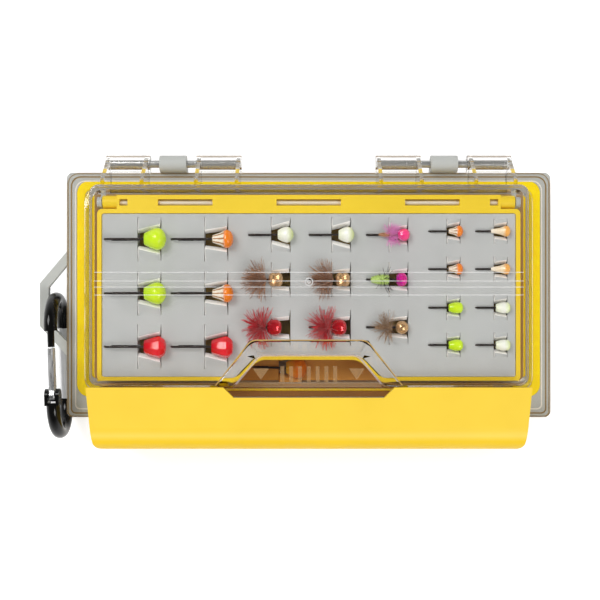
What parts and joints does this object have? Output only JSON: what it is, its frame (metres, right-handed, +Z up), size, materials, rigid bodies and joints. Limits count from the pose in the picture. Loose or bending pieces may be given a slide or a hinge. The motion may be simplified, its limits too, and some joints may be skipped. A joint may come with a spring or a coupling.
{
  "type": "fishing jig box",
  "caption": "Slim waterproof jig box with a clear hinged lid, a full-width snap latch, a hinged foam leaf of jigs and a clip-on carabiner.",
  "frame": {"origin": "middle of the base's underside, which the closed box rests on", "axes": "+X along the box's length to the right, +Y to the lid's hinges, +Z up out of the clear lid"},
  "size_m": [0.2028, 0.115, 0.0388],
  "materials": {
    "grey_plastic": "light grey moulded plastic, fine satin texture",
    "clear_plastic": "clear hard plastic, glossy",
    "yellow_seal": "soft yellow seal",
    "yellow_plastic": "yellow moulded plastic, satin to gloss",
    "grey_foam": "closed-cell grey foam",
    "pin_steel": "plain steel",
    "hook_wire": "black nickel hook wire",
    "paint_chartreuse": "glossy chartreuse paint",
    "paint_gold": "copper gold with an orange tip",
    "paint_red": "glossy red paint",
    "paint_glow": "pale glow paint",
    "paint_pink": "glossy pink paint",
    "paint_magenta": "glossy magenta paint",
    "paint_cream": "cream paint with an orange tip",
    "paint_orange": "glossy orange paint",
    "bead_gold": "polished brass bead",
    "feather_pink": "dyed feather fibres",
    "feather_brown": "natural brown feather fibres",
    "feather_red": "dyed feather fibres",
    "feather_tan": "natural tan feather fibres",
    "body_green": "green dubbed body",
    "black_metal": "glossy black coating",
    "gate_metal": "bare silver metal"
  },
  "bodies": {
    "base": {"base_shell": "grey_plastic", "rim_gasket": "yellow_seal", "base_foam": "grey_foam", "hinge_pin_left": "pin_steel", "hinge_pin_right": "pin_steel", "latch_pin_left": "pin_steel", "latch_pin_right": "pin_steel", "base_jig_hooks": "hook_wire", "base_heads_orange": "paint_orange", "base_heads_green": "paint_chartreuse"},
    "lid": {"clear_lid": "clear_plastic"},
    "latch": {"latch_cover": "yellow_plastic"},
    "carabiner": {"carabiner_body": "black_metal", "gate_rivet": "pin_steel"},
    "gate": {"carabiner_gate": "gate_metal", "gate_spring": "pin_steel"},
    "leaf": {"bead_brass": "bead_gold", "beads_gold": "bead_gold", "beads_red": "paint_red", "hackle_pink": "feather_pink", "hackle_tan": "feather_tan", "hackles_brown": "feather_brown", "hackles_red": "feather_red", "head_magenta": "paint_magenta", "head_pink": "paint_pink", "heads_chartreuse": "paint_chartreuse", "heads_glow": "paint_glow", "heads_gold_orange": "paint_gold", "heads_red": "paint_red", "insect_body_green": "body_green", "jig_hooks_large": "hook_wire", "jig_hooks_medium": "hook_wire", "jig_hooks_small": "hook_wire", "leaf_foam": "grey_foam", "leaf_pivot_pin_left": "pin_steel", "leaf_pivot_pin_right": "pin_steel", "leaf_tray": "yellow_plastic", "small_heads_chartreuse": "paint_chartreuse", "small_heads_cream": "paint_cream", "small_heads_glow": "paint_glow", "small_heads_orange": "paint_gold"}
  },
  "joints": [
    {"name": "lid_hinge", "type": "hinge", "parent": "base", "child": "lid", "pos_m": [0, 0.0519, 0.0205], "axis": [-1, 0, 0], "range_deg": [0, 100]},
    {"name": "latch_pivot", "type": "hinge", "parent": "base", "child": "latch", "pos_m": [0, -0.053, 0.008], "axis": [1, 0, 0], "range_deg": [0, 90]},
    {"name": "leaf_pivot", "type": "hinge", "parent": "base", "child": "leaf", "pos_m": [0, 0.0362, 0.0253], "axis": [-1, 0, 0], "range_deg": [0, 75]},
    {"name": "carabiner_swing", "type": "hinge", "parent": "base", "child": "carabiner", "pos_m": [-0.10031, -0.00172, 0.0165], "axis": [0, 0, -1], "range_deg": [0, 100]},
    {"name": "gate_pivot", "type": "hinge", "parent": "carabiner", "child": "gate", "pos_m": [-0.09902, -0.03889, 0.0299], "axis": [-0.9994, -0.0349, 0], "range_deg": [0, 22], "stiffness_Nm_per_rad": 0.05, "springref_deg": -11.46}
  ],
  "couplings": [
    {"joint": "latch_pivot", "follows": "lid_hinge", "ratio": 0.9},
    {"joint": "leaf_pivot", "follows": "lid_hinge", "ratio": 0.75}
  ]
}
